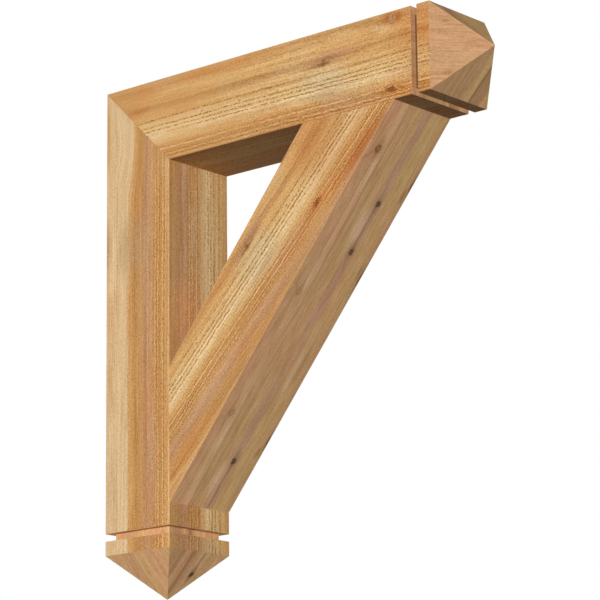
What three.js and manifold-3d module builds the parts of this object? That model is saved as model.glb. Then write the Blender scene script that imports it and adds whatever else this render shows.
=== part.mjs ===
// A timber corbel bracket in three pieces of square timber: a leg that stands against the wall, an arm
// that carries the load from above, and a diagonal brace between them. Leg and arm meet in a mitre at the
// top back corner. Their free ends have a groove cut all round, a square collar and a four-sided point.
//
// Millimetres, +Z up. The origin is the middle of the leg's flat back face, +Y points into the wall, and
// the bracket is symmetric about the plane X = 0.

import * as THREE from "three";
import { mergeVertices } from "three/addons/utils/BufferGeometryUtils.js";
import Module from "manifold-3d";

// Driving dimensions
const TIMBER = 152.4; // side of the square section that all three timbers share
const PROJECTION = 812.8; // from the wall to the tip of the arm
const HEIGHT = 914.4; // from the top face to the tip of the leg
const POINT = TIMBER / 2; // length of a point whose four faces slope at 45 degrees
const COLLAR = 25.4; // length of the square block between groove and point
const GROOVE_WIDTH = 12.7;
const GROOVE_DEPTH = 12.7;
const SHOULDER = 38.1; // plain timber left between the brace and a groove
const JOINT_GAP = 0.3; // clearance between two timbers that meet
const SQUARE_SIDES = 4;

// Places worked out from the driving dimensions, in the bracket's side view: out from the wall, and up
const grooveStart = (length) => length - POINT - COLLAR - GROOVE_WIDTH;
const TOP = grooveStart(HEIGHT) / 2;
const UNDERSIDE = TOP - TIMBER;
const BRACE_FOOT = TOP - grooveStart(HEIGHT) + SHOULDER;
const BRACE_HEAD = grooveStart(PROJECTION) - SHOULDER;
const BRACE_SLOPE = (UNDERSIDE - BRACE_FOOT) / (BRACE_HEAD - TIMBER);

const wasm = await Module();
wasm.setup();

/** The solid inside a closed geometry. Corners shared by faces are merged, and faces of no area dropped. */
function solidOf(geometry) {
  const shell = geometry.clone();
  shell.deleteAttribute("normal");
  shell.deleteAttribute("uv");
  const merged = mergeVertices(shell);
  const corners = merged.index.array;
  const triangles = [];
  for (let i = 0; i < corners.length; i += 3) {
    const [a, b, c] = corners.slice(i, i + 3);
    if (a !== b && b !== c && c !== a) {
      triangles.push(a, b, c);
    }
  }
  const vertProperties = new Float32Array(merged.attributes.position.array);
  const triVerts = new Uint32Array(triangles);
  return new wasm.Manifold(new wasm.Mesh({ numProp: 3, vertProperties, triVerts }));
}

/** The surface of a solid, as a geometry. */
function geometryOf(solid) {
  const { vertProperties, triVerts } = solid.getMesh();
  const geometry = new THREE.BufferGeometry();
  geometry.setAttribute("position", new THREE.BufferAttribute(vertProperties, 3));
  geometry.setIndex(new THREE.BufferAttribute(triVerts, 1));
  geometry.computeVertexNormals();
  return geometry;
}

/**
 * A square timber along +Y, from a plain end at 0 to the tip of its point. The profile is turned in four
 * steps, which makes it square, so each of its radii is half a diagonal.
 */
function pointedTimber(length) {
  const full = TIMBER / Math.SQRT2;
  const core = (TIMBER - 2 * GROOVE_DEPTH) / Math.SQRT2;
  const groove = grooveStart(length);
  const collar = groove + GROOVE_WIDTH;
  const point = collar + COLLAR;
  const profile = [
    new THREE.Vector2(0, 0),
    new THREE.Vector2(full, 0),
    new THREE.Vector2(full, groove),
    new THREE.Vector2(core, groove),
    new THREE.Vector2(core, collar),
    new THREE.Vector2(full, collar),
    new THREE.Vector2(full, point),
    new THREE.Vector2(0, length),
  ];
  return new THREE.LatheGeometry(profile, SQUARE_SIDES, Math.PI / SQUARE_SIDES);
}

/** An outline in the side view, carried across the bracket to a width that is centred on it. */
function acrossBracket(points, width) {
  const geometry = new THREE.ExtrudeGeometry(new THREE.Shape(points), { depth: width, bevelEnabled: false });
  return geometry.translate(0, 0, -width / 2);
}

/**
 * The waste that a mitre cut takes away: all that lies above the mitre for side 1, and below it for
 * side -1, with half of the joint's clearance.
 */
function mitreWaste(side) {
  const reach = 2 * TIMBER;
  const level = TOP - (side * JOINT_GAP) / Math.SQRT2;
  const outline = [
    new THREE.Vector2(-reach, level + reach),
    new THREE.Vector2(reach, level - reach),
    new THREE.Vector2(side * reach, level + side * reach),
  ];
  return acrossBracket(outline, reach);
}

/** The leg: its point hangs down, and its top is mitred to the arm. */
function wallLeg() {
  const timber = pointedTimber(HEIGHT);
  timber.rotateZ(Math.PI);
  timber.translate(TIMBER / 2, TOP, 0);
  return geometryOf(solidOf(timber).subtract(solidOf(mitreWaste(1))));
}

/** The arm: its point reaches out from the wall, and its back end is mitred to the leg. */
function topArm() {
  const timber = pointedTimber(PROJECTION);
  timber.rotateZ(-Math.PI / 2);
  timber.translate(0, TOP - TIMBER / 2, 0);
  return geometryOf(solidOf(timber).subtract(solidOf(mitreWaste(-1))));
}

/** The brace: two parallel edges a timber apart, cut off plumb at the leg and level at the arm. */
function diagonalBrace() {
  const plumbCut = TIMBER + JOINT_GAP;
  const levelCut = UNDERSIDE - JOINT_GAP;
  const edgeDrop = TIMBER * Math.hypot(1, BRACE_SLOPE);
  const upAt = (out) => BRACE_FOOT + BRACE_SLOPE * (out - TIMBER);
  const outAt = (up) => TIMBER + (up - BRACE_FOOT) / BRACE_SLOPE;
  const outline = [
    new THREE.Vector2(plumbCut, upAt(plumbCut)),
    new THREE.Vector2(outAt(levelCut), levelCut),
    new THREE.Vector2(outAt(levelCut - edgeDrop), levelCut),
    new THREE.Vector2(plumbCut, upAt(plumbCut) + edgeDrop),
  ];
  return geometryOf(solidOf(acrossBracket(outline, TIMBER)));
}

/** A named piece of rough-sawn timber in its own tone. */
function piece(name, geometry, color) {
  const material = new THREE.MeshStandardMaterial({
    color,
    roughness: 0.78,
    metalness: 0,
    flatShading: true,
  });
  const mesh = new THREE.Mesh(geometry, material);
  mesh.name = name;
  return mesh;
}

// The side view is turned to stand the bracket up: out from the wall becomes -Y, and up becomes +Z
const sideView = new THREE.Group();
sideView.rotation.set(Math.PI / 2, 0, -Math.PI / 2, "ZYX");
sideView.add(
  piece("wall_leg", wallLeg(), 0xc99863),
  piece("top_arm", topArm(), 0xc8955c),
  piece("diagonal_brace", diagonalBrace(), 0xc59460),
);

const bracket = new THREE.Group();
bracket.add(sideView);

export default bracket;
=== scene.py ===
# %% [markdown]
# # A timber corbel bracket
#
# Three square timbers make this bracket: a leg against the wall, an arm that carries the load, and a
# diagonal brace between them. Their sides are straight from the saw, so they are rough and full of torn
# grain, while the brace's under face, the grooves and the points are planed smooth. The solids already
# have the true shape. This script gives each timber a fine surface and a wood finish, then lights it.

# %% Load the solids
import math
from collections import namedtuple

import bpy
import numpy as np
from mathutils import Matrix


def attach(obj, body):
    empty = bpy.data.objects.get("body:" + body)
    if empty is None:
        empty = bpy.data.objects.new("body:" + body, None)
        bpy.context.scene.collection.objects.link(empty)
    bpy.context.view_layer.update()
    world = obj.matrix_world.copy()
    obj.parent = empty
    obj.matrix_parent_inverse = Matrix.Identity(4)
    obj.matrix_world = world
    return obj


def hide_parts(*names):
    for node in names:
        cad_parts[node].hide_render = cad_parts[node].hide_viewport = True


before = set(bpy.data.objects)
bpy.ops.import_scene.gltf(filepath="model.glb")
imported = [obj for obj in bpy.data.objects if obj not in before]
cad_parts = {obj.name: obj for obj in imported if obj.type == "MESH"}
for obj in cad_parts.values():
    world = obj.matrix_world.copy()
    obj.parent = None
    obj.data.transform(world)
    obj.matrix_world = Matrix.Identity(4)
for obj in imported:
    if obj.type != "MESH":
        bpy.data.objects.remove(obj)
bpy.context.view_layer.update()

print("solids:", ", ".join(sorted(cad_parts)))

# %% [markdown]
# ## Sizes
#
# Sizes could be typed in, but then they might drift away from the solids. So each one is read from the
# corners of the solids, and nothing has to be fitted later. A place on the bracket is easiest to think of
# in its side view, as a distance out from the wall and a height. The leg and the arm change four times
# towards their free end: at the groove, the collar, the point and the tip.

# %% Read the sizes
DECIMALS = 5  # levels that agree this far, in metres, are one level
CHANGES = 4  # groove, collar, point and tip


def side_view(node):
    """Corners of a solid in the side view: their distances out from the wall, and their heights."""
    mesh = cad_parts[node].data
    places = np.empty(len(mesh.vertices) * 3, np.float32)
    mesh.vertices.foreach_get("co", places)
    into_wall, up = places.reshape(-1, 3).T[1:].astype(float)
    return -into_wall, up


def levels(distances):
    """The different distances among these, in rising order."""
    return np.unique(np.round(distances, DECIMALS))


leg_out, leg_up = side_view("wall_leg")
arm_out, arm_up = side_view("top_arm")
brace_out, brace_up = side_view("diagonal_brace")
TIMBER = leg_out.max()
HALF = TIMBER / 2
TOP = arm_up.max()
LEG_CHANGES = levels(TOP - leg_up)[-CHANGES:]
ARM_CHANGES = levels(arm_out)[-CHANGES:]
GROOVE_DEPTH = levels(leg_out)[1]  # the leg's back is its first level, and the groove's floor its second
MITRE_GAP = levels(TOP - leg_up)[0]  # the mitred leg ends this far under the arm's top

BRACE_FOOT = np.array([brace_out.min(), brace_up.min()])
BRACE_HEAD = np.array([brace_out.max(), brace_up.max()])
BRACE_LENGTH = np.linalg.norm(BRACE_HEAD - BRACE_FOOT)
BRACE_RUN, BRACE_RISE = (BRACE_HEAD - BRACE_FOOT) / BRACE_LENGTH
BRACE_SLOPE = math.atan2(BRACE_RISE, BRACE_RUN)

print(f"timbers {TIMBER * 1000:.1f} mm square, grooves {GROOVE_DEPTH * 1000:.1f} mm deep")
print("leg changes at", LEG_CHANGES.round(4), "and arm at", ARM_CHANGES.round(4))
print(f"brace {BRACE_LENGTH:.4f} m along its lower edge, at {math.degrees(BRACE_SLOPE):.1f} degrees")

# %% [markdown]
# ## The section of a timber
#
# A sawn timber is square, but its arrises, the long corner edges, are never razor sharp. A box with a
# Bevel modifier would show that. Here the section is a list of points instead, a square whose corners are
# small arcs, because the same points can then follow every groove and mitre. One trip round it passes the
# near side, the front, the far side and the back. It serves all three timbers, because "front" simply
# means the face that looks away from the wall or down.

# %% Draw the section
ARRIS = 0.0014  # radius of an eased arris, in metres
FLAT_COLUMNS = 108  # columns across the flat of one side
ARC_COLUMNS = 4  # columns round one arris
SIDES = 4
FRONT = 1
QUARTER_TURN = np.array([[0, -1], [1, 0]])


def section():
    """A section of half width 1 as columns: each one's place (x, w), outward normal (x, w) and side.

    Place = centre of the arc + its radius * normal. On the near side the centre's w runs evenly from
    arris to arris, and the normal swings through a right angle at each arris. The other sides are the
    same columns in quarter turns.
    """
    ease = ARRIS / HALF
    swing = (np.arange(ARC_COLUMNS) + 0.5) / ARC_COLUMNS * math.pi / 2 - math.pi / 4
    half_arc = ARC_COLUMNS // 2
    angle = np.concatenate([swing[:half_arc], np.zeros(FLAT_COLUMNS), swing[half_arc:]])
    flat = np.linspace(ease - 1, 1 - ease, FLAT_COLUMNS)
    centre_w = np.concatenate([np.full(half_arc, ease - 1), flat, np.full(half_arc, 1 - ease)])
    normal = np.column_stack([-np.cos(angle), np.sin(angle)])
    place = np.column_stack([np.full(len(angle), ease - 1), centre_w]) + ease * normal
    turns = [np.linalg.matrix_power(QUARTER_TURN, side) for side in range(SIDES)]
    places = np.concatenate([place @ turn for turn in turns])
    normals = np.concatenate([normal @ turn for turn in turns])
    return places, normals, np.repeat(np.arange(SIDES), len(angle))


SECTION, SECTION_NORMAL, SECTION_SIDE = section()
COLUMNS = len(SECTION)
print(f"section of {COLUMNS} columns, arrises eased to {ARRIS * 1000:.1f} mm")

# %% [markdown]
# ## Rows along a timber
#
# The section is carried along the timber in rows. A row says where it lies, how it leans, and how far it
# is inset. Boolean cuts could make the mitres and grooves, but they leave long thin faces. Rows in even
# steps leave a mesh of small quads, which the relief of the sawn wood can move later.

# %% Rows in even steps
ROW_STEP = 0.0048  # spacing of rows along the grain, in metres

# a layout's last field holds the corners that get painted shade
Layout = namedtuple("Layout", "rows planed ends scorched")


def run(first, last, step=ROW_STEP):
    """Rows from first to last in even steps: each is the first plus its share of the way to the last."""
    first, last = np.array(first, float), np.array(last, float)
    place, lean, inset = np.abs(last - first)
    count = max(2, round(max(place + lean * HALF, inset) / step) + 1)
    return first + np.linspace(0, 1, count)[:, None] * (last - first)


def lay_out(ends, scorched, *runs):
    """Joins runs of rows, each given with whether it is planed, and notes the corners that get painted
    shade.
    """
    rows = np.concatenate([rows for planed, rows in runs])
    planed = np.concatenate([np.full(len(rows), planed) for planed, rows in runs])
    return Layout(rows, planed, ends, scorched)


print("the brace's length takes", len(run((0, 0, 0), (BRACE_LENGTH, 0, 0))), "rows")

# %% [markdown]
# ## Mitres, grooves and points
#
# Rows lean at a mitred or slanting end and straighten up on the way, so the mesh follows the cut with no
# waste. At a groove the inset grows to the groove's depth, and along a point it grows until the four
# faces meet in the tip. A plain end is closed by two more rows that are inset on the cut itself.

# %% Lay out the rows
CHIP = 0.0005  # tiny chamfer where a saw cut meets a face
CAP_INSETS = (0.3 * HALF, 0.9 * HALF)  # rows that close an end


def pointed_layout(changes, scorched=()):
    """Rows (place, lean, inset) of a mitred timber with a groove, a collar and a point.

    A corner lies at place + lean * w along the timber. The lean is 1 at the mitre and 0 at the groove.
    """
    groove, collar, point, tip = changes
    mitre = (HALF + MITRE_GAP, 1)
    wall = ROW_STEP / 2
    return lay_out(
        (mitre[0], tip),
        scorched,
        (True, run((*mitre, CAP_INSETS[1]), (*mitre, CAP_INSETS[0]), HALF)),
        (False, run((*mitre, 0), (groove - CHIP, 0, 0))),
        (True, run((groove, 0, CHIP), (groove, 0, GROOVE_DEPTH - CHIP), wall)),
        (True, run((groove, 0, GROOVE_DEPTH), (collar, 0, GROOVE_DEPTH), wall)),
        (True, run((collar, 0, GROOVE_DEPTH - CHIP), (collar, 0, CHIP), wall)),
        (False, run((collar + CHIP, 0, 0), (point, 0, 0))),
        (True, run((point + CHIP, 0, CHIP), (tip - CHIP, 0, HALF - CHIP))),
    )


def slanting_layout():
    """Rows of the brace. Its foot leans back by rise over run, and its head leans out by run over rise."""
    slant = BRACE_RISE / BRACE_RUN
    foot = (HALF * slant, -slant)
    head = (BRACE_LENGTH - HALF / slant, 1 / slant)
    return lay_out(
        (foot[0], head[0]),
        (),
        (True, run((*foot, CAP_INSETS[1]), (*foot, CAP_INSETS[0]), HALF)),
        (False, run((*foot, 0), (*head, 0))),
        (True, run((*head, CAP_INSETS[0]), (*head, CAP_INSETS[1]), HALF)),
    )


LEG_LAYOUT = pointed_layout(LEG_CHANGES)
# the corners of the arm's groove get painted shade
ARM_LAYOUT = pointed_layout(ARM_CHANGES, scorched=ARM_CHANGES[:2])
BRACE_LAYOUT = slanting_layout()
print("rows:", len(LEG_LAYOUT.rows), "leg,", len(ARM_LAYOUT.rows), "arm,", len(BRACE_LAYOUT.rows), "brace")

# %% [markdown]
# ## Rough from the saw
#
# Sawn softwood is not flat. The hard late wood stands up in long ridges, the soft early wood between them
# tears into short pits, and the whole face wanders a little. A Displace modifier could do this, but numpy
# noise with a seed has a known height, which must stay under the clearance between two timbers. One noise
# on a lattice gives all three, and only the size of its cells differs.

# %% Make the relief
PLANED_SHARE = 0.05  # how much of the relief is left on a planed face
RELIEF = [  # full height, then the size of a cell along and across the grain, in metres
    (0.00022, 0.160, 0.0450),
    (0.00012, 0.070, 0.0036),
    (0.00012, 0.011, 0.0028),
]


def lattice_noise(along, across, seed):
    """Random values from -0.5 to 0.5 on a unit lattice, joined smoothly.

    A value is the mean of the four lattice values around it, weighted by 3 f^2 - 2 f^3, where f is the
    place within the cell.
    """
    i, f = np.divmod(along, 1)
    j, g = np.divmod(across, 1)
    i, j = (i - i.min()).astype(int), (j - j.min()).astype(int)
    values = np.random.default_rng(seed).random((i.max() + 2, j.max() + 2)) - 0.5
    f, g = f * f * (3 - 2 * f), g * g * (3 - 2 * g)
    near = values[i, j] * (1 - g) + values[i, j + 1] * g
    far = values[i + 1, j] * (1 - g) + values[i + 1, j + 1] * g
    return near * (1 - f) + far * f


def sawn_relief(along, across, seed):
    """Height of a rough-sawn face: the sum of its wander, its ridges and its tears."""
    layers = enumerate(RELIEF)
    return sum(h * lattice_noise(along / a, across / c, seed + layer) for layer, (h, a, c) in layers)


trial = sawn_relief(*np.mgrid[0:TOP:ROW_STEP, 0:TIMBER:ROW_STEP], seed=1)
print(f"relief from {trial.min() * 1000:.2f} to {trial.max() * 1000:.2f} mm")

# %% [markdown]
# ## Corners and faces
#
# Rows and columns make a grid of corners, and each row closes on itself round the section. Blender could
# fill the two ends, but one more corner at each end and a fan of triangles needs no search and leaves no
# holes.

# %% Place and join the corners
def across_side(side, x, w):
    """Distance across a side from its first arris: w counts on the near side, x on the front, and back."""
    return np.choose(side, [HALF + w, HALF + x, HALF - w, HALF - x])


def corners_of(layout, planed_front, seed):
    """Corners as (x, w, t), row after row, and last the two ends, with t = place + lean * w.

    The relief moves each corner along the section's normal, and fades with the section towards a tip.
    """
    place, lean, inset = layout.rows.T[:, :, None]
    reach = HALF - inset
    x, w = SECTION[:, 0] * reach, SECTION[:, 1] * reach
    smooth = layout.planed[:, None] | (planed_front & (SECTION_SIDE == FRONT))
    around = TIMBER * SECTION_SIDE + across_side(SECTION_SIDE, x, w)
    rise = sawn_relief(place + lean * w, around, seed) * np.where(smooth, PLANED_SHARE, 1) * reach / HALF
    x, w = x + rise * SECTION_NORMAL[:, 0], w + rise * SECTION_NORMAL[:, 1]
    corners = np.stack([x, w, place + lean * w], axis=-1).reshape(-1, 3)
    return np.concatenate([corners, [(0, 0, end) for end in layout.ends]])


def faces_of(row_count):
    """Corner numbers of the faces: quads between neighbouring rows, and a fan of triangles at each end."""
    corner = np.arange(row_count * COLUMNS).reshape(row_count, COLUMNS)
    beside = np.roll(corner, -1, axis=1)
    quads = np.stack([corner[:-1], beside[:-1], beside[1:], corner[1:]], axis=-1).reshape(-1, 4)
    start = np.column_stack([beside[0], corner[0], np.full(COLUMNS, corner.size)])
    end = np.column_stack([corner[-1], beside[-1], np.full(COLUMNS, corner.size + 1)])
    return quads, np.concatenate([start, end])


trial = corners_of(ARM_LAYOUT, False, seed=1)
print(f"arm: {len(trial)} corners, {trial[:, 2].max():.4f} m from the wall to the tip")

# %% [markdown]
# ## Places in the wood
#
# All sawn sides are cut from one imagined plank, so that they look like one delivery of timber. Object
# coordinates would run straight through the bracket, but grain follows each timber. So a UV map holds
# each corner's place on the plank, along the grain and across it, counted in timber widths. A cut says
# where on the plank a side begins, which way it spreads, and how far its grain runs out of line. Planed
# faces don't come from the plank: they simply count the trip round the section.

# %% Map the wood
Cut = namedtuple("Cut", "along across spread runout", defaults=(1, 0.0))


def on_plank(cut, along, across):
    """Place on the plank: a turn by the run-out, then the cut's direction and start."""
    cos, sin = math.cos(cut.runout), math.sin(cut.runout)
    return cut.along + along * cos + across * sin, cut.across + cut.spread * (across * cos - along * sin)


def wood_map(corners, side, planed, cuts):
    """UV of every face corner, in timber widths: from the side's cut, or plain where the face is planed."""
    x, w, t = corners.T
    along, across = t / TIMBER, across_side(side, x, w) / TIMBER
    sawn = np.array([on_plank(cut, along, across) for cut in cuts])[side, :, np.arange(len(side))]
    plain = np.column_stack([along, side + across])
    return np.where(planed[:, None], plain, sawn)


print("one corner on the plank:", on_plank(Cut(0.5, 0.5, runout=0.1), 1.0, 0.5))

# %% [markdown]
# ## From arrays to a mesh
#
# Blender's from_pydata would build the mesh from Python lists. A timber has nearly a hundred thousand
# faces, so foreach_set is the better way, because it takes whole arrays at once. An attribute is one more
# array that rides along with the mesh, for the finish to read.

# %% Fill a mesh
SHARP_EDGE = math.radians(38)  # faces that meet more steeply than this keep a crisp edge


def filled_mesh(name, places, loops, sizes):
    """A smooth mesh of these places. Its faces take so many corners each from the loops, one by one."""
    mesh = bpy.data.meshes.new(name)
    mesh.vertices.add(len(places))
    mesh.vertices.foreach_set("co", places.ravel())
    mesh.loops.add(len(loops))
    mesh.loops.foreach_set("vertex_index", loops)
    mesh.polygons.add(len(sizes))
    mesh.polygons.foreach_set("loop_start", np.cumsum(sizes) - sizes)
    mesh.update(calc_edges=True)
    mesh.polygons.foreach_set("use_smooth", np.ones(len(sizes), bool))
    mesh.set_sharp_from_angle(angle=SHARP_EDGE)
    return mesh


def add_attribute(mesh, name, domain, values):
    """Stores one number for each corner or face of a mesh."""
    mesh.attributes.new(name, "FLOAT", domain).data.foreach_set("value", values.astype(np.float32))


print(f"edges over {math.degrees(SHARP_EDGE):.0f} degrees stay crisp")

# %% [markdown]
# ## From a mesh to a timber
#
# One function now does the joiner's work: it places the corners in the bracket, joins them, and writes
# down what the finish needs to know. The planed attribute marks smooth faces, the arris attribute is high
# near the eased edges, where handling leaves the wood paler and a highlight is painted along them, and a
# third attribute is high in the deep corners of a groove, where shade is painted in.

# %% Build a timber
WORN_AND_HIGHLIGHT_REACH = 0.0022  # how far the paler wear and its painted highlight reach from an arris, in metres
PAINTED_SHADE_REACH = 0.003  # how far painted shade reaches along the floor of a groove from its corner
PLAIN_ENDS = (0, 0)  # the two corners that close a timber get no wear, painted highlight or painted shade


def painted_shade_rows(layout):
    """Rows on the floor of a groove near one of its corners, where shade is painted."""
    from_corner = np.abs(layout.rows[:, :1] - layout.scorched).min(axis=1, initial=TIMBER)
    return np.isclose(layout.rows[:, 2], GROOVE_DEPTH) & (from_corner < PAINTED_SHADE_REACH)


def timber(name, layout, origin, front, grain, cuts, seed, planed_front=False):
    """A timber as a mesh object: place = origin + x across + w to the front + t along the grain."""
    corners = corners_of(layout, planed_front, seed)
    quads, fans = faces_of(len(layout.rows))
    axes = np.array([(1, 0, 0), front, grain], float)
    if np.linalg.det(axes) < 0:
        quads, fans = quads[:, ::-1], fans[:, ::-1]
    loops = np.concatenate([quads.ravel(), fans.ravel()])
    sizes = np.repeat([4, 3], [len(quads), len(fans)])
    mesh = filled_mesh(name, corners @ axes + origin, loops, sizes)

    side = np.tile(SECTION_SIDE, len(layout.rows) + 1)
    planed = np.repeat(np.append(layout.planed[:-1] | layout.planed[1:], [True, True]), COLUMNS)
    planed = planed | (planed_front & (side == FRONT))
    uv = wood_map(corners[loops], np.repeat(side, sizes), np.repeat(planed, sizes), cuts)
    mesh.uv_layers.new(name="Grain").data.foreach_set("uv", uv.ravel())
    add_attribute(mesh, "planed", "FACE", planed)
    # painted shade on the floor of a groove, near its corners
    scorch = np.repeat(painted_shade_rows(layout), COLUMNS)
    add_attribute(mesh, "scorch", "POINT", np.append(scorch, PLAIN_ENDS))
    off_arris = (1 - np.abs(SECTION)).max(axis=1) * (HALF - layout.rows[:, 2:])
    # paler wear and a painted highlight near each arris
    add_attribute(mesh, "arris", "POINT", np.append(np.exp(-off_arris / WORN_AND_HIGHLIGHT_REACH), PLAIN_ENDS))

    piece = bpy.data.objects.new(name, mesh)
    bpy.context.scene.collection.objects.link(piece)
    print(f"{name}: {len(layout.rows)} rows, {2 * len(quads) + len(fans)} triangles")
    return piece


# rows that get painted shade
print("scorched rows of the arm:", painted_shade_rows(ARM_LAYOUT).sum())

# %% [markdown]
# ## The three timbers
#
# The near sides are cut as they show on the real bracket: arm and brace have the same band of torn pale
# grain, and the leg has the edge of the plank with its cream sapwood. The brace is cut a few degrees
# across the grain, so its bands slope. Hidden sides take other stretches of the same plank.

# %% Make the timbers
RUNOUT = BRACE_SLOPE - math.pi / 4

leg_timber = timber(
    "leg_timber",
    LEG_LAYOUT,
    origin=(0, -HALF, TOP),
    front=(0, -1, 0),
    grain=(0, 0, -1),
    cuts=[Cut(0, 1.761, spread=-1), Cut(6, 1.323, spread=-1), Cut(12, 0.761), Cut(18, 0.3)],
    seed=10,
)
arm_timber = timber(
    "arm_timber",
    ARM_LAYOUT,
    origin=(0, 0, TOP - HALF),
    front=(0, 0, -1),
    grain=(0, -1, 0),
    cuts=[Cut(0, 0), Cut(6, 0.28), Cut(12, 1, spread=-1), Cut(18, 0.55)],
    seed=20,
)
brace_timber = timber(
    "brace_timber",
    BRACE_LAYOUT,
    origin=(0, HALF * BRACE_RISE - BRACE_FOOT[0], HALF * BRACE_RUN + BRACE_FOOT[1]),
    front=(0, -BRACE_RISE, -BRACE_RUN),
    grain=(0, -BRACE_RUN, BRACE_RISE),
    cuts=[Cut(0.475, 0.475, runout=RUNOUT), Cut(6, 0), Cut(12, 1.4, -1, RUNOUT), Cut(18, 0.5)],
    seed=30,
    planed_front=True,
)

# %% [markdown]
# ## Tones of the wood
#
# This softwood runs from cream sapwood through straw, honey and amber to russet, with a rose tint here
# and there. A colour could be typed into each node, but a tone with a name is easier to find and change.
# The tones are written as they look in plain light. Blender works in linear light, so each one is
# converted once.

# %% Mix the tones
def linear(red, green, blue):
    """A tone as the eye sees it, 0 to 255, turned into linear light by the standard curve."""
    seen = np.array([red, green, blue]) / 255
    light = np.where(seen <= 0.04045, seen / 12.92, ((seen + 0.055) / 1.055) ** 2.4)
    return (*light.tolist(), 1.0)


SEEN = {
    "cream": (224, 189, 139),
    "sapwood": (216, 182, 136),
    "straw": (217, 178, 122),
    "gold": (214, 168, 107),
    "honey": (208, 160, 100),
    "amber": (200, 149, 91),
    "russet": (191, 140, 83),
    "rose": (195, 148, 105),
    "mauve": (187, 138, 96),
    "ember": (198, 128, 66),
    "rust": (172, 100, 46),
    "coral": (214, 152, 98),
    "taupe": (184, 146, 104),
    "ash": (204, 181, 140),
    "olive": (190, 160, 106),
    "sepia": (130, 80, 36),
    "umber": (88, 58, 36),
    "bark": (62, 40, 28),
    "planed rose": (217, 164, 118),
    "planed tan": (225, 179, 131),
    "planed olive": (215, 171, 115),
    "planed pale": (234, 195, 154),
    "planed shade": (202, 156, 110),
    "planed rust": (189, 144, 101),
    "planed mauve": (204, 156, 120),
    "planed brown": (166, 120, 72),
}
TONES = {name: linear(*seen) for name, seen in SEEN.items()}
print(len(TONES), "tones mixed")

# %% [markdown]
# ## Short ways to join nodes
#
# A material is a graph of nodes. It could be joined by hand in the Shader Editor, but a long graph is
# easier to read as sums and blends. So this small class adds one node at a time, and takes either a
# number or another node's output for each input.

# %% Node helpers
class Finish:
    """A finish in the making: its material, and short ways to add nodes to it."""

    def __init__(self, name):
        self.material = bpy.data.materials.new(name)
        self.material.use_nodes = True
        self.tree = self.material.node_tree
        self.tree.nodes.clear()

    def add(self, kind, inputs, **options):
        """A new node with these options, each input set to a value or joined to another node's output."""
        node = self.tree.nodes.new(kind)
        for option, value in options.items():
            setattr(node, option, value)
        for place, value in inputs.items():
            if isinstance(value, bpy.types.NodeSocket):
                self.tree.links.new(value, node.inputs[place])
            else:
                node.inputs[place].default_value = value
        return node

    def math(self, operation, *values):
        """A sum, product or other plain calculation."""
        return self.add("ShaderNodeMath", dict(enumerate(values)), operation=operation).outputs[0]

    def vector(self, operation, *values):
        """A calculation on places or colours, part by part."""
        return self.add("ShaderNodeVectorMath", dict(enumerate(values)), operation=operation).outputs[0]

    def parts(self, place):
        """The parts of a place: along, across and depth."""
        return self.add("ShaderNodeSeparateXYZ", {0: place}).outputs

    def join(self, along, across, depth):
        """A place from its parts."""
        return self.add("ShaderNodeCombineXYZ", {0: along, 1: across, 2: depth}).outputs[0]

    def fade(self, value, start, end, first=0.0, last=1.0):
        """Goes smoothly from first to last while the value goes from start to end."""
        inputs = {0: value, 1: start, 2: end, 3: first, 4: last}
        return self.add("ShaderNodeMapRange", inputs, interpolation_type="SMOOTHSTEP").outputs[0]

    def stretch(self, value, first, last, edge):
        """1 while the value lies between first and last, with a soft edge inside either end."""
        begins = self.fade(value, first, first + edge)
        ends = self.fade(value, last - edge, last, 1.0, 0.0)
        return self.math("MULTIPLY", begins, ends)

    def between(self, share, first, second):
        """A number on the way from the first to the second: a Mix node takes numbers at inputs 2 and 3."""
        return self.add("ShaderNodeMix", {0: share, 2: first, 3: second}).outputs[0]

    def blend(self, share, first, second):
        """A share of the second colour laid over the first: a Mix node takes colours at inputs 6 and 7."""
        inputs = {0: share, 6: first, 7: second}
        return self.add("ShaderNodeMix", inputs, data_type="RGBA").outputs[2]


print("a finish can", ", ".join(name for name in vars(Finish) if not name.startswith("_")))

# %% [markdown]
# ## Ways of wood
#
# Wood adds a few ways of its own: noise that is stretched along the grain, tones in bands, and light and
# dark that also change how rich the colour is, because dark lines in wood are redder than pale ones.

# %% Wood helpers
RICHNESS = (0.74, 1.0, 1.50)  # how strongly red, green and blue change when wood gets lighter or darker

Waves = namedtuple("Waves", "along across detail", defaults=(2.0,))  # so many to a timber's width


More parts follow.
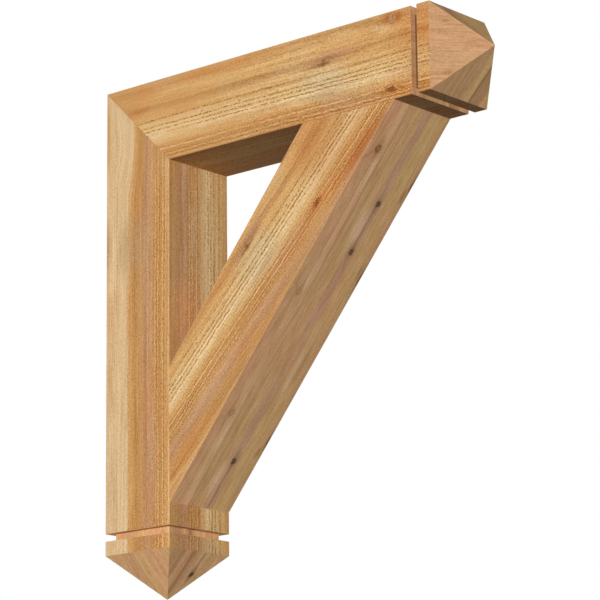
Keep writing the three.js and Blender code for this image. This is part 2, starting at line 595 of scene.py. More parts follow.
class WoodFinish(Finish):
    """A finish with ways to draw grain."""

    def attribute(self, name):
        """A number that the timber's mesh carries."""
        return self.add("ShaderNodeAttribute", {}, attribute_name=name).outputs["Fac"]

    def noise(self, place, waves):
        """Noise around 0 with so many waves to a timber's width, along the grain and across it."""
        stretched = self.vector("MULTIPLY", place, (waves.along, waves.across, 1))
        inputs = {"Vector": stretched, "Scale": 1.0, "Detail": waves.detail}
        return self.math("SUBTRACT", self.add("ShaderNodeTexNoise", inputs).outputs[0], 0.5)

    def wander(self, place, across, wanders):
        """The part across, moved aside by each noise times its reach."""
        for waves, reach in wanders:
            across = self.math("MULTIPLY_ADD", self.noise(place, waves), reach, across)
        return across

    def change(self, colour, amount, strengths):
        """A colour times 1 + amount * strength, for red, green and blue."""
        return self.vector("MULTIPLY", colour, self.vector("MULTIPLY_ADD", amount, strengths, (1, 1, 1)))

    def shade(self, colour, shares, **values):
        """A colour made lighter or darker: each value counts by its share. Darker wood is also richer."""
        total = 0.0
        for name, value in values.items():
            total = self.math("MULTIPLY_ADD", value, shares[name], total)
        return self.change(colour, total, RICHNESS)

    def bands(self, value, stops):
        """Tones in bands: each stop is a place and the name of its tone."""
        first, last = stops[0][0], stops[-1][0]
        share = self.add("ShaderNodeMapRange", {0: value, 1: first, 2: last, 3: 0.0, 4: 1.0}).outputs[0]
        node = self.add("ShaderNodeValToRGB", {0: share})
        ramp = node.color_ramp
        while len(ramp.elements) < len(stops):
            ramp.elements.new(1.0)
        for element, (place, tone) in zip(ramp.elements, stops):
            element.position = (place - first) / (last - first)
            element.color = TONES[tone]
        return node.outputs[0]

    def distance(self, place, spot):
        """Distance from a spot, counted in its half length along the grain and half width across it."""
        offset = self.vector("SUBTRACT", place, (spot.along, spot.across, 0))
        flat = self.vector("MULTIPLY", offset, (1 / spot.length, 1 / spot.width, 0))
        return self.add("ShaderNodeVectorMath", {0: flat}, operation="LENGTH").outputs["Value"]


print("darker wood loses red, green and blue as", RICHNESS)

# %% [markdown]
# ## Knots, patches and drifts
#
# A knot is a branch cut across: a dark core in stained wood, with the grain flowing round it. A patch is
# a soft cloud of another tone. A drift is a place where the bands of grain move aside. They could be
# painted on a picture, but a distance from a spot stays sharp at any size, and one loop draws each kind.

# %% Draw spots
Knot = namedtuple("Knot", "along across length width core depth soft halo stain eye",
                  defaults=("sepia", 0.9, 0.4, "ember", 0.4, 0.0))
Patch = namedtuple("Patch", "along across length width tone share")
Drift = namedtuple("Drift", "along across length width shift")

STAIN_LENGTH = 4.5  # a knot's stain, in half lengths and half widths of its core
STAIN_WIDTH = 2.4
BEND = 0.5  # how strongly grain bends round a knot
SOFT_SPOT = (0.1, 1.0)  # a stain or a patch fades out between these distances
PALE_EYE = (0.1, 0.7)  # a knot's pale eye ends between these


def stain_of(knot):
    """The spot that a knot stains, and where it bends the grain."""
    return knot._replace(length=knot.length * STAIN_LENGTH, width=knot.width * STAIN_WIDTH)


def flow(finish, place, knots, drifts):
    """The place with its part across moved by each drift, and squeezed beside each knot."""
    for drift in drifts:
        shift = finish.fade(finish.distance(place, drift), 0.0, 1.0, drift.shift, 0.0)
        place = finish.vector("ADD", place, finish.join(0.0, shift, 0.0))
    for knot in knots:
        pull = finish.fade(finish.distance(place, stain_of(knot)), 0.0, 1.0, BEND, 0.0)
        offset = finish.math("SUBTRACT", knot.across, finish.parts(place)[1])
        place = finish.vector("ADD", place, finish.join(0.0, finish.math("MULTIPLY", offset, pull), 0.0))
    return place


def draw_patches(finish, colour, place, patches):
    """Lays each patch over the colour."""
    for patch in patches:
        share = finish.fade(finish.distance(place, patch), *SOFT_SPOT, patch.share, 0.0)
        colour = finish.blend(share, colour, TONES[patch.tone])
    return colour


def draw_knots(finish, colour, place, ragged, knots):
    """Lays each knot over the colour: its stain first, then its core with a ragged edge."""
    for knot in knots:
        stain = finish.fade(finish.distance(place, stain_of(knot)), *SOFT_SPOT, knot.stain, 0.0)
        colour = finish.blend(stain, colour, TONES[knot.halo])
        distance = finish.math("ADD", finish.distance(place, knot), ragged)
        core = finish.fade(distance, 1 - knot.soft, 1 + knot.soft, knot.depth, 0.0)
        ring = finish.fade(distance, *PALE_EYE, 1 - knot.eye, 1.0)
        colour = finish.blend(finish.math("MULTIPLY", core, ring), colour, TONES[knot.core])
    return colour


print("grain bends round a knot within", STAIN_LENGTH, "half lengths of it")

# %% [markdown]
# ## Torn lines
#
# Where the saw tore soft wood out of the growth rings, dark furrows and bright ridges take turns at an
# even pitch, broken into dashes. Each ridge is paler fibre with a highlight painted on it as well. A
# Wave Texture has one pitch for the whole plank, so each band of lines is a cosine across the grain
# instead, with its own pitch, place and strength.

# %% Tear the grain
Torn = namedtuple("Torn", "first last pitch furrow dark bright")
TORN = [
    Torn(0.460, 0.508, 0.0480, 0.483, 0.62, 0.0),
    Torn(0.536, 0.700, 0.0485, 0.568, 0.62, 0.08),
    Torn(0.812, 0.895, 0.0430, 0.840, 0.44, 0.46),
    Torn(0.895, 1.000, 0.0440, 0.910, 0.40, 0.40),
    Torn(1.085, 1.133, 0.0480, 1.108, 0.21, 0.0),
    Torn(1.280, 1.328, 0.0480, 1.303, 0.30, 0.0),
    Torn(1.375, 1.423, 0.0480, 1.399, 0.21, 0.0),
    Torn(1.560, 1.690, 0.0430, 1.627, 0.21, 0.06),
]
DASHES = Waves(80, 22)
DASH_FADE = (-0.14, 0.10, 0.15, 1.3)  # from and to, in the noise, and then in its strength
STRETCHES = Waves(0.8, 11)
STRETCH_FADE = (-0.16, 0.12, 0.8, 1.2)
FURROW_FADE = (0.45, 1.0)  # the part of the cosine that is dark, and the part that is bright with a painted highlight
LIT_RIDGE_FADE = (-0.1, -1.0)


def tear(finish, colour, grain, rough):
    """Lays torn lines over the colour, and gives their height: a cosine across the grain, in dashes."""
    across = finish.parts(grain)[1]
    dashes = finish.fade(finish.noise(grain, DASHES), *DASH_FADE)
    strength = finish.fade(finish.noise(grain, STRETCHES), *STRETCH_FADE)
    torn_wood = finish.math("MULTIPLY", dashes, strength)
    height = 0.0
    for torn in TORN:
        turn = 2 * math.pi / torn.pitch
        wave = finish.math("COSINE", finish.math("MULTIPLY_ADD", across, turn, -turn * torn.furrow))
        band = finish.stretch(across, torn.first, torn.last, torn.pitch / 2)
        wave = finish.math("MULTIPLY", wave, finish.math("MULTIPLY", torn_wood, band))
        shares = {"furrow": -torn.dark * rough, "ridge": torn.bright * rough}
        furrow = finish.fade(wave, *FURROW_FADE)
        # a paler ridge between the furrows, with a painted highlight
        ridge = finish.fade(wave, *LIT_RIDGE_FADE)
        colour = finish.shade(colour, shares, furrow=furrow, ridge=ridge)
        height = finish.math("SUBTRACT", height, wave)
    return colour, height


print(len(TORN), "bands of torn lines on the plank")

# %% [markdown]
# ## Tones across the plank
#
# Across the plank the wood goes from amber through a pale band to russet and rose, and ends in sapwood.
# A photographed texture would repeat on every timber, but noise has no end. So bands of tone are laid
# across the grain, and clouds of noise make some stretches warmer and others more ashen.

# %% Colour the plank
PLANK = [
    (-0.05, "amber"), (0.09, "amber"), (0.187, "gold"), (0.25, "honey"), (0.28, "honey"), (0.313, "russet"),
    (0.358, "amber"), (0.437, "gold"), (0.487, "honey"), (0.52, "straw"), (0.60, "straw"), (0.667, "cream"),
    (0.70, "cream"), (0.742, "straw"), (0.80, "honey"), (0.83, "amber"), (0.858, "amber"), (0.908, "russet"),
    (1.0, "russet"), (1.04, "rose"), (1.10, "rose"), (1.12, "mauve"), (1.15, "mauve"), (1.19, "russet"),
    (1.30, "russet"), (1.345, "amber"), (1.385, "honey"), (1.428, "sapwood"), (1.595, "sapwood"),
    (1.8, "sapwood"),
]
CLOUDS = Waves(0.9, 3.5)
WARM_FADE = (0.02, 0.25, 0.0, 0.34)
ASHEN_FADE = (-0.02, -0.25, 0.0, 0.22)


def plank_colour(finish, place, across):
    """Bands of tone across the plank, with warm and ashen clouds laid over them."""
    colour = finish.bands(across, PLANK)
    clouds = finish.noise(place, CLOUDS)
    colour = finish.blend(finish.fade(clouds, *WARM_FADE), colour, TONES["ember"])
    return finish.blend(finish.fade(clouds, *ASHEN_FADE), colour, TONES["ash"])


print(len(PLANK), "bands of tone on the plank")

# %% [markdown]
# ## The sawn finish
#
# The grain wanders a little, and carries the plank's tones, patches and torn lines with it. Long streaks,
# fine lines and fuzz break up the rest. The bump could have a noise of its own, but here the same parts
# give colour and bump, so a line that looks torn also catches the light.

# %% Sawn finish
Look = namedtuple("Look", "colour height roughness")

SAWN_WANDERS = [(Waves(0.45, 1.5), 0.040), (Waves(1.5, 12), 0.014), (Waves(18, 8), 0.030)]
CALM_REACH = 0.8  # a timber livens up within this distance of its calm place, in timber widths
CALM_FADE = (0.6, 1.2)
ROUGHER = [(0.76, 0.86, 1.2), (1.0, 1.05, 0.77), (1.35, 1.46, 0.7)]  # from, to, and how much rougher
STREAKS = Waves(0.7, 30, detail=3)
FINE_LINES = Waves(3, 100)
FUZZ = Waves(54, 84)
PIT_FADE = (-0.12, -0.30)
KNOT_RAGGED = 1.4  # how far fuzz eats into the edge of a knot, in half widths
SAWN_SHADE = {"streaks": 0.58, "fine": 0.60, "fuzz": 1.15, "pits": -0.25}
LINE_BUMP = 0.3
FUZZ_BUMP = 0.8
SAWN_ROUGHNESS = 0.82
FUZZ_ROUGHNESS = 0.3


def sawn_finish(finish, place, rough, calm, knots, patches, drifts):
    """The look of rough-sawn wood. Along the grain it is calmer up to a place, and livelier behind it."""
    along, across, depth = finish.parts(flow(finish, place, knots, drifts))
    across = finish.wander(place, across, SAWN_WANDERS)
    grain = finish.join(along, across, depth)

    colour = draw_patches(finish, plank_colour(finish, place, across), grain, patches)
    colour, lines = tear(finish, colour, grain, rough)

    lively = finish.fade(along, calm - CALM_REACH, calm + CALM_REACH, *CALM_FADE)
    streaks = finish.math("MULTIPLY", finish.noise(grain, STREAKS), lively)
    fuzzy = finish.math("MULTIPLY", lively, rough)
    fine = finish.math("MULTIPLY", finish.noise(grain, FINE_LINES), fuzzy)
    for start, end, change in ROUGHER:
        fuzzy = finish.math("MULTIPLY", fuzzy, finish.fade(across, start, end, 1.0, change))
    fuzz = finish.math("MULTIPLY", finish.noise(place, FUZZ), fuzzy)
    pits = finish.fade(fuzz, *PIT_FADE)
    colour = draw_knots(finish, colour, place, finish.math("MULTIPLY", fuzz, KNOT_RAGGED), knots)
    colour = finish.shade(colour, SAWN_SHADE, streaks=streaks, fine=fine, fuzz=fuzz, pits=pits)

    height = finish.math("MULTIPLY_ADD", lines, LINE_BUMP, finish.math("ADD", streaks, fine))
    height = finish.math("MULTIPLY_ADD", fuzz, FUZZ_BUMP, height)
    roughness = finish.math("MULTIPLY_ADD", fuzz, FUZZ_ROUGHNESS, SAWN_ROUGHNESS)
    return Look(colour, height, roughness)


print(f"fuzz of {TIMBER / FUZZ.along * 1000:.1f} by {TIMBER / FUZZ.across * 1000:.1f} mm")

# %% [markdown]
# ## Trails
#
# On a planed face some knots drag thin dark lines of resin behind them. A strip of mesh would lie on top
# of the wood, but resin is in it. So each trail is drawn in the colour, as a straight line that fades to
# both sides and at both ends.

# %% Draw trails
Trail = namedtuple("Trail", "first last across width share slope", defaults=(0.0,))
TRAIL_EDGE = 0.08  # a trail begins and ends over this length, in timber widths


def draw_trails(finish, colour, grain, trails):
    """Lays thin dark lines over the colour, each from its first to its last place along the grain."""
    along, across = finish.parts(grain)[:2]
    for trail in trails:
        middle = finish.math("MULTIPLY_ADD", along, trail.slope, trail.across - trail.slope * trail.first)
        off = finish.math("ABSOLUTE", finish.math("SUBTRACT", across, middle))
        line = finish.fade(off, 0.0, trail.width, trail.share, 0.0)
        first, last = trail.first - TRAIL_EDGE / 2, trail.last + TRAIL_EDGE / 2
        line = finish.math("MULTIPLY", line, finish.stretch(along, first, last, TRAIL_EDGE))
        colour = finish.blend(line, colour, TONES["umber"])
    return colour


print(f"trails begin and end over {TRAIL_EDGE * TIMBER * 1000:.0f} mm")

# %% [markdown]
# ## The planed finish
#
# A planed face is calmer. It could be the sawn finish turned down, but planing brings out other things:
# rose and olive tints in broad soft streaks, with flecks and a few thin lines between them. The bands are
# set out round the section, one timber width for each side.

# %% Planed finish
PLANED_WANDERS = [(Waves(0.5, 1.2), 0.060), (Waves(2.4, 5), 0.025)]
TINTS = Waves(0.9, 2.6)
TINT = (0.16, -0.16, 0.04)  # how red, green and blue change from an olive streak to a rose one
PLANED_STREAKS = Waves(1.8, 16, detail=4)
FLECKS = Waves(4, 40, detail=3)
PLANED_FUZZ = Waves(40, 60)
PLANED_SHADE = {"streaks": 0.50, "flecks": 0.75, "fuzz": 0.70}
THIN_LINES = Waves(0.9, 40)
THIN_LINE_FADE = (-0.08, -0.24, 0.0, 0.4)
PLANED_EDGES = Waves(26, 34)
PLANED_RAGGED = 1.6  # how far those waves eat into the edge of a knot, in half widths
FLECK_BUMP = 0.08
STREAK_BUMP = 0.06
PLANED_ROUGHNESS = 0.62
STREAK_ROUGHNESS = 0.25


def planed_finish(finish, place, bands, knots, patches, trails):
    """The look of planed wood at a place round the section."""
    along, across, depth = finish.parts(flow(finish, place, knots, []))
    across = finish.wander(place, across, PLANED_WANDERS)
    grain = finish.join(along, across, depth)

    colour = finish.bands(across, bands)
    colour = finish.change(colour, finish.noise(place, TINTS), TINT)
    colour = draw_patches(finish, colour, grain, patches)
    streaks = finish.noise(grain, PLANED_STREAKS)
    flecks = finish.noise(grain, FLECKS)
    fuzz = finish.noise(place, PLANED_FUZZ)
    colour = finish.shade(colour, PLANED_SHADE, streaks=streaks, flecks=flecks, fuzz=fuzz)
    lines = finish.fade(finish.noise(grain, THIN_LINES), *THIN_LINE_FADE)
    colour = finish.blend(lines, colour, TONES["planed brown"])
    colour = draw_trails(finish, colour, grain, trails)
    ragged = finish.math("MULTIPLY", finish.noise(place, PLANED_EDGES), PLANED_RAGGED)
    colour = draw_knots(finish, colour, place, ragged, knots)

    height = finish.math("MULTIPLY_ADD", flecks, FLECK_BUMP, finish.math("MULTIPLY", streaks, STREAK_BUMP))
    roughness = finish.math("MULTIPLY_ADD", streaks, STREAK_ROUGHNESS, PLANED_ROUGHNESS)
    return Look(colour, height, roughness)


print("roughness:", SAWN_ROUGHNESS, "sawn,", PLANED_ROUGHNESS, "planed")

# %% [markdown]
# ## One wood for each timber
#
# Each timber joins the two finishes by its planed attribute. Two materials on one timber would do as
# well, but one graph keeps knots, wear and painted light in a single place. Worn arrises are a little
# paler, with a highlight painted along them, and the deep corners of a groove get painted shade. The
# seed moves the noise into another depth of the plank, so no two timbers repeat each other.

# %% Wood material
BUMP_HEIGHT = 0.0004  # height of one unit of bump, in metres
BUMP_STRENGTH = 0.5
SPECULAR = 0.25
# paler wear with a painted highlight along each arris
WORN_AND_HIGHLIGHT_SHARE = 0.2
# painted shade in the deep corners of a groove
PAINTED_SHADE_SHARE = 0.9


def wood(name, seed, rough, calm, bands, knots=(), patches=(), drifts=(),
         planed_knots=(), planed_patches=(), trails=()):
    """The material of one timber: its sawn marks, and the bands and marks of its planed faces."""
    finish = WoodFinish(name)
    uv = finish.add("ShaderNodeUVMap", {}, uv_map="Grain").outputs[0]
    place = finish.vector("ADD", uv, (0, 0, seed))
    planed = finish.attribute("planed")
    # paler wear with a painted highlight along each arris
    worn_and_highlit = finish.math("MULTIPLY", finish.attribute("arris"), WORN_AND_HIGHLIGHT_SHARE)
    # painted shade in the deep corners of a groove
    scorched = finish.math("MULTIPLY", finish.attribute("scorch"), PAINTED_SHADE_SHARE)
    sawn = sawn_finish(finish, place, rough, calm, knots, patches, drifts)
    smooth = planed_finish(finish, place, bands, planed_knots, planed_patches, trails)

    colour = finish.blend(planed, sawn.colour, smooth.colour)
    # worn arrises made paler, which also paints a highlight along them
    colour = finish.blend(worn_and_highlit, colour, TONES["cream"])
    # painted shade darkens the deep corners of a groove
    colour = finish.blend(scorched, colour, TONES["umber"])
    bump = finish.add("ShaderNodeBump", {
        "Height": finish.between(planed, sawn.height, smooth.height),
        "Distance": BUMP_HEIGHT,
        "Strength": BUMP_STRENGTH,
    })
    shader = finish.add("ShaderNodeBsdfPrincipled", {
        "Base Color": colour,
        "Roughness": finish.between(planed, sawn.roughness, smooth.roughness),
        "Specular IOR Level": SPECULAR,
        "Normal": bump.outputs[0],
    })
    finish.add("ShaderNodeOutputMaterial", {"Surface": shader.outputs[0]})
    print(f"{name}: {len(finish.tree.nodes)} nodes")
    return finish.material


print(f"bump of {BUMP_HEIGHT * 1000:.1f} mm at strength {BUMP_STRENGTH}")

# %% [markdown]
# ## Marks on the plank
#
# The arm and the brace share the plank's knots and patches, which is why both sides show them at the same
# places. A list of spots is easy to move by eye: along the grain, across it, half length and half width.

# %% Mark the plank
SPECK = Knot(1.52, 0.528, 0.016, 0.010, depth=0.6, soft=0.6, stain=0.0)
SPECK_PLACES = [(1.52, 0.528), (2.10, 0.532), (2.675, 0.536), (4.02, 0.536)]
PLANK_KNOTS = [
    Knot(3.33, 0.385, 0.120, 0.018, depth=0.70, soft=0.8, halo="mauve", stain=0.7),
    Knot(3.35, 0.372, 0.026, 0.036, depth=0.80, soft=0.6, stain=0.0),
    Knot(4.29, 0.885, 0.075, 0.036, core="rust", depth=0.9, soft=0.40, stain=0.5),
    Knot(4.30, 0.882, 0.056, 0.027, depth=0.85, soft=0.30, stain=0.0),
    Knot(4.333, 0.080, 0.050, 0.046, core="rose", depth=0.8, soft=0.3, halo="rust", stain=0.9),
    Knot(4.338, 0.072, 0.012, 0.026, depth=0.5, soft=0.6, stain=0.0),
]
PLANK_KNOTS += [SPECK._replace(along=along, across=across) for along, across in SPECK_PLACES]
PLANK_PATCHES = [
    Patch(3.35, 0.57, 0.55, 0.30, "ash", 0.6),
    Patch(3.60, 0.88, 0.55, 0.14, "rose", 0.6),
    Patch(1.60, 0.07, 1.10, 0.07, "ember", 0.5),
    Patch(0.60, 0.13, 0.45, 0.16, "ember", 0.6),
    Patch(0.50, 0.32, 0.30, 0.07, "rust", 0.40),
    Patch(4.75, 0.33, 0.35, 0.14, "rust", 0.4),
    Patch(4.75, 0.35, 0.60, 0.60, "ember", 0.5),
    Patch(3.75, 0.17, 0.40, 0.08, "gold", 0.7),
    Patch(3.50, 0.31, 0.50, 0.09, "mauve", 0.95),
    Patch(3.40, 0.35, 0.32, 0.06, "sepia", 0.35),
    Patch(3.35, 0.75, 0.45, 0.08, "taupe", 0.5),
    Patch(2.40, 0.74, 0.60, 0.06, "straw", 0.6),
    Patch(3.90, 0.97, 0.80, 0.06, "rust", 0.3),
    Patch(4.20, 0.17, 0.24, 0.06, "cream", 0.6),
    Patch(4.43, 0.07, 0.05, 0.05, "ember", 0.8),
    Patch(4.50, 0.95, 0.45, 0.13, "ember", 0.6),
    Patch(5.10, 0.50, 0.45, 0.24, "amber", 0.7),
    Patch(5.15, 1.00, 0.75, 0.14, "rust", 0.85),
    Patch(4.00, 1.05, 1.00, 0.12, "amber", 0.7),
]
print(len(PLANK_KNOTS), "knots and", len(PLANK_PATCHES), "patches on the plank")

# %% [markdown]
# ## The leg's wood
#
# The leg shows the edge of the plank: pale sapwood towards the wall, and rosy heartwood beside the brace.
# Near the mitre the sapwood swings aside, which is what the drift is for. Its front is a little ashen.

# %% Leg wood
leg_wood = wood(
    "leg_wood",
    seed=1.3,
    rough=0.95,
    calm=1.0,
    patches=[
        Patch(0.50, 1.758, 0.75, 0.10, "amber", 0.9),
        Patch(1.90, 1.758, 0.50, 0.10, "mauve", 0.9),
        Patch(0.15, 1.300, 0.45, 0.30, "russet", 0.7),
        Patch(4.80, 1.680, 1.00, 0.20, "taupe", 0.3),
        Patch(1.95, 1.430, 0.60, 0.20, "taupe", 0.6),
        Patch(1.95, 1.200, 0.60, 0.25, "taupe", 0.6),
        Patch(4.40, 1.025, 1.30, 0.10, "rose", 0.9),
        Patch(3.20, 0.790, 2.60, 0.09, "russet", 0.5),
        Patch(8.10, 0.850, 1.80, 0.80, "ash", 0.2),
        Patch(8.75, 1.050, 0.65, 0.32, "coral", 0.7),
        Patch(11.45, 0.820, 0.30, 0.50, "taupe", 0.5),
    ],
    drifts=[Drift(0.67, 1.38, 0.8, 0.35, 0.11)],
    bands=[
        (0.0, "planed olive"), (0.30, "planed shade"), (0.50, "planed olive"), (0.62, "planed rose"),
        (0.76, "planed rose"), (0.85, "planed olive"), (1.0, "planed olive"), (1.26, "planed rust"),
        (1.33, "planed tan"), (1.39, "planed shade"), (1.43, "planed brown"), (1.48, "planed shade"),
        (1.57, "planed tan"), (1.72, "planed olive"), (2.0, "planed olive"), (4.0, "planed tan"),
    ],
    planed_knots=[Knot(5.73, 1.6, 0.03, 0.03, core="bark", depth=1.0, halo="planed brown", stain=0.8)],
    trails=[Trail(5.35, 5.73, 1.61, 0.02, 0.45), Trail(5.5, 5.95, 0.36, 0.015, 0.25)],
)

# %% [markdown]
# ## The arm's wood
#
# The arm shows the plank's face with all its knots. Its underside is a little greener, so it gets an
# olive cloud, and a dark sepia one at the collar, which is painted shade under the arm's end. Its point
# has three faint eyes.

# %% Arm wood
arm_wood = wood(
    "arm_wood",
    seed=4.7,
    rough=1.05,
    calm=2.0,
    knots=PLANK_KNOTS,
    patches=PLANK_PATCHES + [
        Patch(0.15, 0.20, 0.60, 0.30, "russet", 0.7),
        Patch(1.20, 0.70, 0.40, 0.12, "gold", 0.7),
        Patch(3.62, 0.10, 0.35, 0.12, "straw", 0.5),
        Patch(8.00, 0.78, 2.60, 1.00, "olive", 0.40),
        # painted shade under the arm's end, at the collar
        Patch(10.60, 0.78, 0.80, 0.95, "sepia", 0.62),
    ],
    bands=[
        (0.0, "planed rust"), (0.98, "planed rust"), (1.02, "planed shade"), (1.30, "planed shade"),
        (1.50, "planed shade"), (1.58, "planed olive"), (1.645, "planed olive"), (1.665, "planed brown"),
        (1.69, "planed rust"), (1.80, "planed rust"), (1.88, "planed olive"), (2.0, "planed shade"),
        (3.5, "planed olive"), (3.7, "planed shade"), (4.0, "planed shade"),
    ],
    planed_knots=[
        Knot(4.958, 0.23, 0.025, 0.018, depth=0.4, soft=0.6, halo="planed brown", eye=0.5),
        Knot(5.113, 0.55, 0.028, 0.020, depth=0.3, soft=0.5, halo="planed rust", eye=0.8),
        Knot(4.970, 0.81, 0.030, 0.022, depth=0.4, soft=0.6, halo="planed brown", eye=0.5),
    ],
    trails=[Trail(4.80, 5.40, 1.665, 0.014, 0.45), Trail(4.80, 5.20, 3.75, 0.030, 0.40)],
)

# %% [markdown]
# ## Marks on the brace's under face
#
# This planed face shows most, so it has marks of its own: small eyes near one arris, dark knots joined by
# a thin line in the middle, and half knots at the other arris. Marks of a kind differ only in their
# place, so one of them is copied along the face.

# %% Mark the under face
EYES = [
    Knot(4.623, 1.175, 0.050, 0.045, depth=0.85, soft=0.3, halo="planed brown", stain=0.5, eye=0.6),
    Knot(2.807, 1.175, 0.050, 0.045, depth=0.40, soft=0.3, halo="planed rust", eye=0.6),
    Knot(1.223, 1.183, 0.050, 0.045, depth=0.40, soft=0.3, halo="planed rust", eye=0.6),
]
DARK = Knot(4.023, 1.625, 0.040, 0.034, core="bark", soft=0.35, halo="planed brown", stain=0.6, eye=0.3)
DARK_KNOTS = [DARK._replace(along=along) for along in (4.023, 3.407, 0.640)]
CUT = Knot(4.323, 1.985, 0.070, 0.022, soft=0.5, halo="planed brown", stain=0.9)
HALF_KNOTS = [CUT._replace(along=along) for along in (4.323, 3.123, 0.957)]

PALE_PLACES = [
    (3.72, 1.53, 0.36, 0.12),
    (0.40, 1.53, 0.40, 0.12),
    (4.35, 1.25, 0.28, 0.05),
    (2.92, 1.25, 0.16, 0.05),
    (0.90, 1.25, 0.32, 0.05),
    (1.90, 1.76, 0.45, 0.05),
]
BROWN_PLACES = [(4.19, 1.92, 0.15, 0.04), (3.21, 1.92, 0.16, 0.04), (0.80, 1.92, 0.13, 0.04)]
UNDER_PATCHES = [Patch(2.05, 1.42, 0.90, 0.62, "planed rose", 0.7)]
UNDER_PATCHES += [Patch(*place, "planed pale", 0.8) for place in PALE_PLACES]
UNDER_PATCHES += [Patch(1.95, 1.85, 0.40, 0.05, "planed rust", 0.9)]
UNDER_PATCHES += [Patch(*place, "planed brown", 0.8) for place in BROWN_PLACES]

UNDER_TRAILS = [
    Trail(3.41, 4.02, 1.628, 0.016, 0.55),
    Trail(4.02, 4.25, 1.625, 0.020, 0.30),
    Trail(3.18, 3.41, 1.625, 0.020, 0.30),
    Trail(0.00, 0.64, 1.628, 0.016, 0.50),
    Trail(0.64, 0.82, 1.625, 0.020, 0.30),
    Trail(2.85, 4.60, 1.185, 0.014, 0.35),
    Trail(2.80, 5.00, 1.420, 0.025, 0.12),
    Trail(0.00, 1.25, 1.420, 0.025, 0.08),
    Trail(2.90, 5.00, 1.310, 0.020, 0.14),
    Trail(0.00, 1.10, 1.310, 0.020, 0.14),
    Trail(4.45, 4.60, 1.010, 0.040, 0.25, slope=1.0),
    Trail(2.83, 2.95, 1.150, 0.040, 0.15, slope=-1.2),
    Trail(1.08, 1.20, 1.020, 0.040, 0.15, slope=1.1),
]
print(len(EYES + DARK_KNOTS + HALF_KNOTS), "knots and", len(UNDER_TRAILS), "trails on the under face")

# %% [markdown]
# ## The brace's wood
#
# The brace's sides come from the same plank as the arm's and are the roughest of the three. Its foot
# reaches past the heartwood, so an amber cloud keeps the sapwood out of that corner.

# %% Brace wood
brace_wood = wood(
    "brace_wood",
    seed=8.1,
    rough=1.2,
    calm=0.2,
    knots=PLANK_KNOTS,
    patches=PLANK_PATCHES + [
        Patch(4.75, 0.45, 0.50, 0.50, "russet", 0.35),
        Patch(0.60, 1.48, 1.00, 0.26, "amber", 1.0),
        Patch(1.20, 1.26, 0.90, 0.16, "ember", 0.45),
    ],
    bands=[
        (0.0, "planed rose"), (1.16, "planed rose"), (1.20, "planed tan"), (1.27, "planed tan"),
        (1.31, "planed shade"), (1.35, "planed olive"), (1.40, "planed shade"), (1.44, "planed olive"),
        (1.50, "planed olive"), (1.60, "planed mauve"), (1.67, "planed mauve"), (1.72, "planed olive"),
        (1.86, "planed olive"), (2.0, "planed shade"), (4.0, "planed olive"),
    ],
    planed_knots=EYES + DARK_KNOTS + HALF_KNOTS,
    planed_patches=UNDER_PATCHES,
    trails=UNDER_TRAILS,
)

# %% [markdown]
# ## Dress the bracket
#
# Each new timber takes the place of its solid, takes its own wood as its finish, and rides on the
# bracket's one body.

# %% Dress the bracket
for piece, node, material in (
    (leg_timber, "wall_leg", leg_wood),
    (arm_timber, "top_arm", arm_wood),
    (brace_timber, "diagonal_brace", brace_wood),
):
    piece.data.materials.append(material)
    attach(piece, "root")
    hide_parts(node)
    print(f"{piece.name} takes the place of {node}")

# %% [markdown]
# ## Directions
#
# A lamp and a camera both look along their own -Z axis. A Track To constraint could aim them, but three
# axes worked out from an azimuth and an elevation do it with no helper objects.

# %% Aim a lamp or camera
def direction(azimuth, elevation):
    """Unit direction towards an azimuth and elevation in degrees. Azimuth 0 is straight out of the wall."""
    turn, tilt = math.radians(azimuth), math.radians(elevation)
    return np.array([math.sin(turn) * math.cos(tilt), -math.cos(turn) * math.cos(tilt), math.sin(tilt)])


def looking_back(back):
    """Axes of a lamp or camera whose back points in this direction: right, up and back, as columns."""
    right = np.cross((0, 0, 1), back)
    right = right / np.linalg.norm(right)
    return np.column_stack([right, np.cross(back, right), back])


print("straight out of the wall is", direction(0, 0).round(3))

# %% [markdown]
# ## Light
#
# One broad soft light comes level from the viewer's left. It makes the near sides brightest and leaves
# the undersides dark. A lamp near by would fade along the bracket, so all lights are suns, which are even.
# Most of the front light is fill that casts no shadow, because so broad a light reaches into a groove
# from all round. Two more lights reach only what the viewer doesn't see: one from behind and above for
# the back and the top, and one square on to the far side.

# %% Light the bracket
FRONT_AZIMUTH = -57.5
FRONT_SPREAD = 14


def soft_sun(name, azimuth, elevation, strength, spread, shadows=True):
    """An even light from far away. Its spread, in degrees, softens the shadows."""
    lamp = bpy.data.lights.new(name, "SUN")
    lamp.energy = strength
    lamp.angle = math.radians(spread)
    lamp.use_shadow = shadows
    light = bpy.data.objects.new(name, lamp)
    light.matrix_world = Matrix(looking_back(direction(azimuth, elevation))).to_4x4()
    bpy.context.scene.collection.objects.link(light)
    print(f"{name}: strength {strength} from {azimuth}, {elevation}")


soft_sun("front_light", FRONT_AZIMUTH, elevation=0, strength=0.6, spread=FRONT_SPREAD)
soft_sun("front_fill", FRONT_AZIMUTH, elevation=0, strength=2.8, spread=FRONT_SPREAD, shadows=False)
soft_sun("back_light", azimuth=180, elevation=33, strength=3.0, spread=10)
soft_sun("far_light", azimuth=90, elevation=0, strength=2.6, spread=8)

# %% [markdown]
# ## Floor
#
# The bracket hangs high up, so nothing stands under it. A plain pale floor lies far below, only to be
# looked at: it sends no light back up, and a faint glow of its own keeps it pale.

# %% Add the floor
FLOOR_DROP = 6.0  # from the origin down to the floor, in metres
FLOOR_REACH = 200.0
FLOOR_ROUGHNESS = 0.9
FLOOR_GLOW = 0.35
PALE = linear(236, 234, 230)

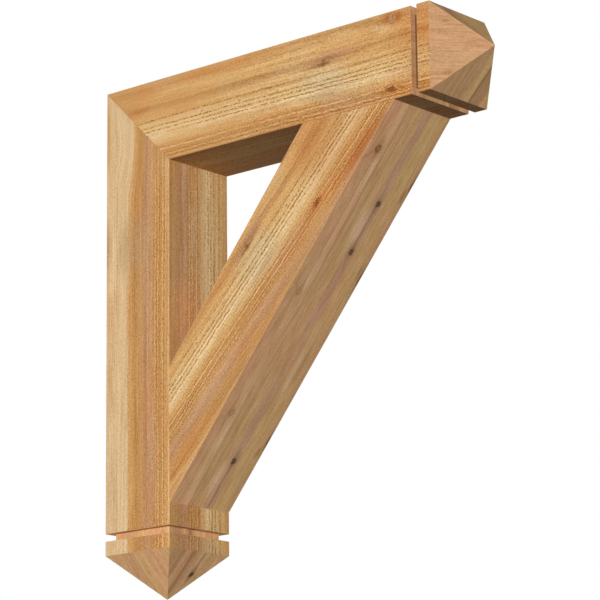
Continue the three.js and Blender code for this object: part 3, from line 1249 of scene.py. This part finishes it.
floor_mesh = bpy.data.meshes.new("floor")
corners = FLOOR_REACH * np.array([(-1, -1, 0), (1, -1, 0), (1, 1, 0), (-1, 1, 0)]) - (0, 0, FLOOR_DROP)
floor_mesh.from_pydata(corners.tolist(), [], [(0, 1, 2, 3)])
floor = bpy.data.objects.new("floor", floor_mesh)
floor.visible_diffuse = False
floor.visible_shadow = False
bpy.context.scene.collection.objects.link(floor)

paint = Finish("pale_floor")
matt = paint.add("ShaderNodeBsdfPrincipled", {
    "Base Color": PALE,
    "Roughness": FLOOR_ROUGHNESS,
    "Emission Color": PALE,
    "Emission Strength": FLOOR_GLOW,
})
paint.add("ShaderNodeOutputMaterial", {"Surface": matt.outputs[0]})
floor_mesh.materials.append(paint.material)
print(f"floor {FLOOR_DROP} m below the middle of the bracket")

# %% [markdown]
# ## Room
#
# The room is plain white to the eye, but gives only a little light of its own, so the undersides stay as
# dark as they are on the real bracket. One strength for both would make the room grey or the undersides
# pale, so the Light Path node tells them apart.

# %% Add the room
AMBIENT = 0.075

world = bpy.data.worlds.new("white_room")
world.use_nodes = True
nodes = world.node_tree.nodes
links = world.node_tree.links
nodes.clear()
path = nodes.new("ShaderNodeLightPath")
glow = nodes.new("ShaderNodeMapRange")
glow.inputs["To Min"].default_value = AMBIENT
room = nodes.new("ShaderNodeBackground")
room.inputs["Color"].default_value = (1, 1, 1, 1)
shown = nodes.new("ShaderNodeOutputWorld")
links.new(path.outputs["Is Camera Ray"], glow.inputs["Value"])
links.new(glow.outputs[0], room.inputs["Strength"])
links.new(room.outputs[0], shown.inputs["Surface"])
bpy.context.scene.world = world
bpy.context.scene.view_settings.view_transform = "Standard"
print("room light", AMBIENT)

# %% [markdown]
# ## Camera
#
# The viewer stands low and to the left of the bracket, and looks up at it through a long lens from about
# five metres away. A camera could be placed by eye, but this one was worked out from the bracket's
# straight edges. The picture is square, and it is turned by less than a degree.

# %% Set the camera
VIEW_AZIMUTH = -49.354
VIEW_ELEVATION = -13.679
VIEW_ROLL = 0.718
VIEW_PLACE = (-3.54410, -3.42907, -1.16979)
LENS = 169.76  # millimetres
SENSOR = 36.0

view = bpy.data.cameras.new("viewer")
view.lens = LENS
view.sensor_width = SENSOR
camera = bpy.data.objects.new("viewer", view)
axes = Matrix(looking_back(direction(VIEW_AZIMUTH, VIEW_ELEVATION))).to_4x4()
roll = Matrix.Rotation(math.radians(-VIEW_ROLL), 4, "Z")
camera.matrix_world = Matrix.Translation(VIEW_PLACE) @ axes @ roll
bpy.context.scene.collection.objects.link(camera)
bpy.context.scene.camera = camera
print("camera at", VIEW_PLACE)

# %% [markdown]
# ## Finish
#
# The dressed bracket must keep the solids' size.
